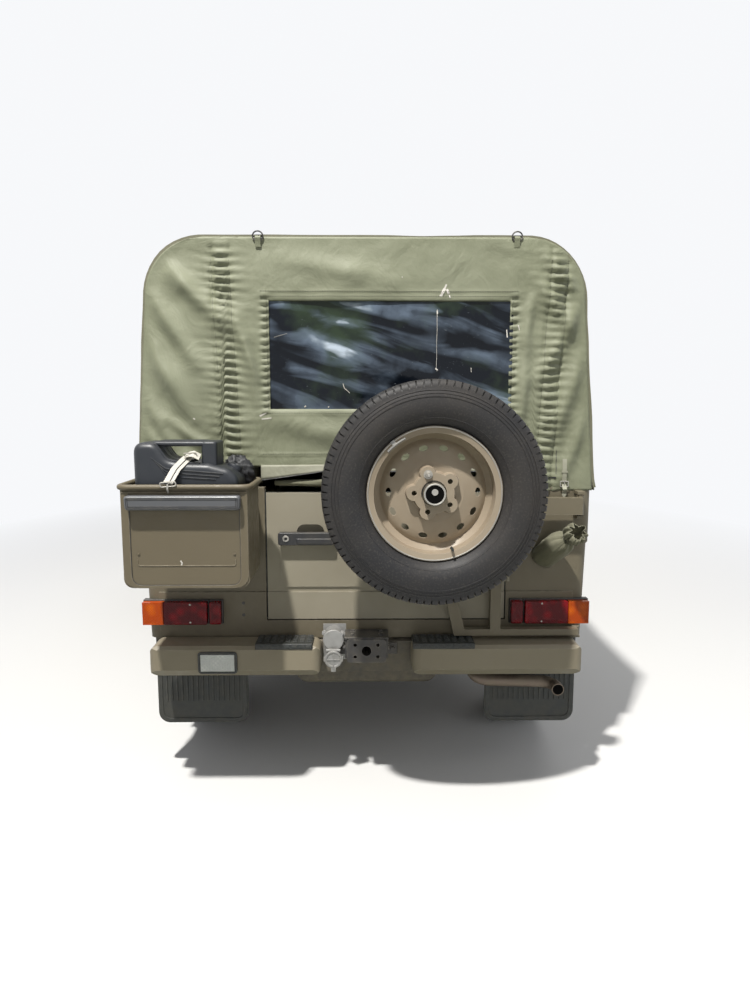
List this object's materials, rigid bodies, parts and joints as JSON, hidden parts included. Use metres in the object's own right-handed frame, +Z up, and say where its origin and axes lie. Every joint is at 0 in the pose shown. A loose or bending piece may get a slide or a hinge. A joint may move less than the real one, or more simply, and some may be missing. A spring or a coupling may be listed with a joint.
{
  "type": "army 4x4 off-road car with a canvas hood",
  "caption": "Long-wheelbase army off-road car with a canvas hood, swing-away spare wheel, jerrycan holder, opening doors and bonnet, steering and rolling wheels.",
  "frame": {"origin": "centre of the car's footprint box, on the ground", "axes": "+X to the car's right side, +Y forwards along the car, +Z up"},
  "size_m": [2.084, 4.6903, 2.0699],
  "materials": {
    "paint_olive": "matt brownish olive paint",
    "paint_olive_dark": "matt dark olive paint, dusty",
    "rim_paint": "matt olive paint under dry mud dust",
    "tyre_rubber": "worn tyre rubber",
    "rubber_black": "moulded black rubber",
    "hood_canvas": "coated olive canvas",
    "window_film": "creased clear plastic film",
    "window_glass": "clear glass",
    "lens_red": "red lens",
    "lens_amber": "amber lens",
    "lens_clear": "clear ribbed lens",
    "can_plastic": "blue-black moulded plastic",
    "plastic_black": "black moulded plastic",
    "seat_vinyl": "dark seat cloth",
    "cast_aluminium": "dull cast aluminium",
    "cast_metal": "bare castings",
    "exhaust_steel": "heat-stained steel"
  },
  "bodies": {
    "car": {"chassis_frame": "paint_olive_dark", "floor_pan": "paint_olive", "side_panels": "paint_olive", "rear_panel": "paint_olive", "scuttle": "paint_olive", "wings": "paint_olive", "front_panel": "paint_olive", "clear_lamps": "lens_clear", "amber_lenses": "lens_amber", "red_lenses": "lens_red", "bumpers": "paint_olive", "rubber_parts": "rubber_black", "tow_coupling": "paint_olive_dark", "trailer_socket": "cast_aluminium", "axles": "paint_olive_dark", "suspension": "paint_olive_dark", "powertrain": "cast_metal", "fuel_tank": "paint_olive_dark", "exhaust": "exhaust_steel", "windscreen_frame": "paint_olive", "windscreen_glass": "window_glass", "hood_roof": "hood_canvas", "hood_sides": "hood_canvas", "hood_rear": "hood_canvas", "hood_windows": "window_film", "hood_bows": "paint_olive_dark", "dashboard": "plastic_black", "seats": "seat_vinyl", "can_holder": "paint_olive", "jerrycan": "can_plastic", "aerial_cover": "hood_canvas"},
    "bonnet": {"bonnet": "paint_olive"},
    "door_left": {"door_left": "paint_olive", "door_glass_left": "window_glass"},
    "door_right": {"door_right": "paint_olive", "door_glass_right": "window_glass"},
    "rear_door": {"rear_door": "paint_olive"},
    "spare_carrier": {"spare_carrier": "paint_olive", "rim_spare": "rim_paint", "tyre_spare": "tyre_rubber"},
    "knuckle_left": {"knuckle_left": "paint_olive_dark"},
    "knuckle_right": {"knuckle_right": "paint_olive_dark"},
    "wheel_front_left": {"rim_front_left": "rim_paint", "tyre_front_left": "tyre_rubber"},
    "wheel_front_right": {"rim_front_right": "rim_paint", "tyre_front_right": "tyre_rubber"},
    "wheel_rear_left": {"rim_rear_left": "rim_paint", "tyre_rear_left": "tyre_rubber"},
    "wheel_rear_right": {"rim_rear_right": "rim_paint", "tyre_rear_right": "tyre_rubber"}
  },
  "joints": [
    {"name": "bonnet_hinge", "type": "hinge", "parent": "car", "child": "bonnet", "pos_m": [0, 1.122, 1.172], "axis": [1, 0, 0], "range_deg": [0, 55]},
    {"name": "door_left_hinge", "type": "hinge", "parent": "car", "child": "door_left", "pos_m": [-0.859, 1.004, 1], "axis": [0, 0, -1], "range_deg": [0, 68]},
    {"name": "door_right_hinge", "type": "hinge", "parent": "car", "child": "door_right", "pos_m": [0.859, 1.004, 1], "axis": [0, 0, 1], "range_deg": [0, 68]},
    {"name": "carrier_hinge", "type": "hinge", "parent": "car", "child": "spare_carrier", "pos_m": [0.8, -1.952, 1.098], "axis": [0, 0, 1], "range_deg": [0, 105]},
    {"name": "rear_door_hinge", "type": "hinge", "parent": "car", "child": "rear_door", "pos_m": [0.541, -1.92, 0.9], "axis": [0, 0, 1], "range_deg": [0, 105]},
    {"name": "steer_left", "type": "hinge", "parent": "car", "child": "knuckle_left", "pos_m": [-0.63, 1.605, 0.37], "axis": [0, 0, 1], "range_deg": [-28, 28]},
    {"name": "steer_right", "type": "hinge", "parent": "car", "child": "knuckle_right", "pos_m": [0.63, 1.605, 0.37], "axis": [0, 0, 1], "range_deg": [-28, 28]},
    {"name": "roll_front_left", "type": "hinge", "parent": "knuckle_left", "child": "wheel_front_left", "pos_m": [-0.7125, 1.605, 0.37], "axis": [1, 0, 0], "continuous": true},
    {"name": "roll_front_right", "type": "hinge", "parent": "knuckle_right", "child": "wheel_front_right", "pos_m": [0.7125, 1.605, 0.37], "axis": [1, 0, 0], "continuous": true},
    {"name": "roll_rear_left", "type": "hinge", "parent": "car", "child": "wheel_rear_left", "pos_m": [-0.7125, -1.245, 0.37], "axis": [1, 0, 0], "continuous": true},
    {"name": "roll_rear_right", "type": "hinge", "parent": "car", "child": "wheel_rear_right", "pos_m": [0.7125, -1.245, 0.37], "axis": [1, 0, 0], "continuous": true}
  ],
  "couplings": [
    {"joint": "rear_door_hinge", "follows": "carrier_hinge", "ratio": 1},
    {"joint": "steer_right", "follows": "steer_left", "ratio": 1}
  ]
}
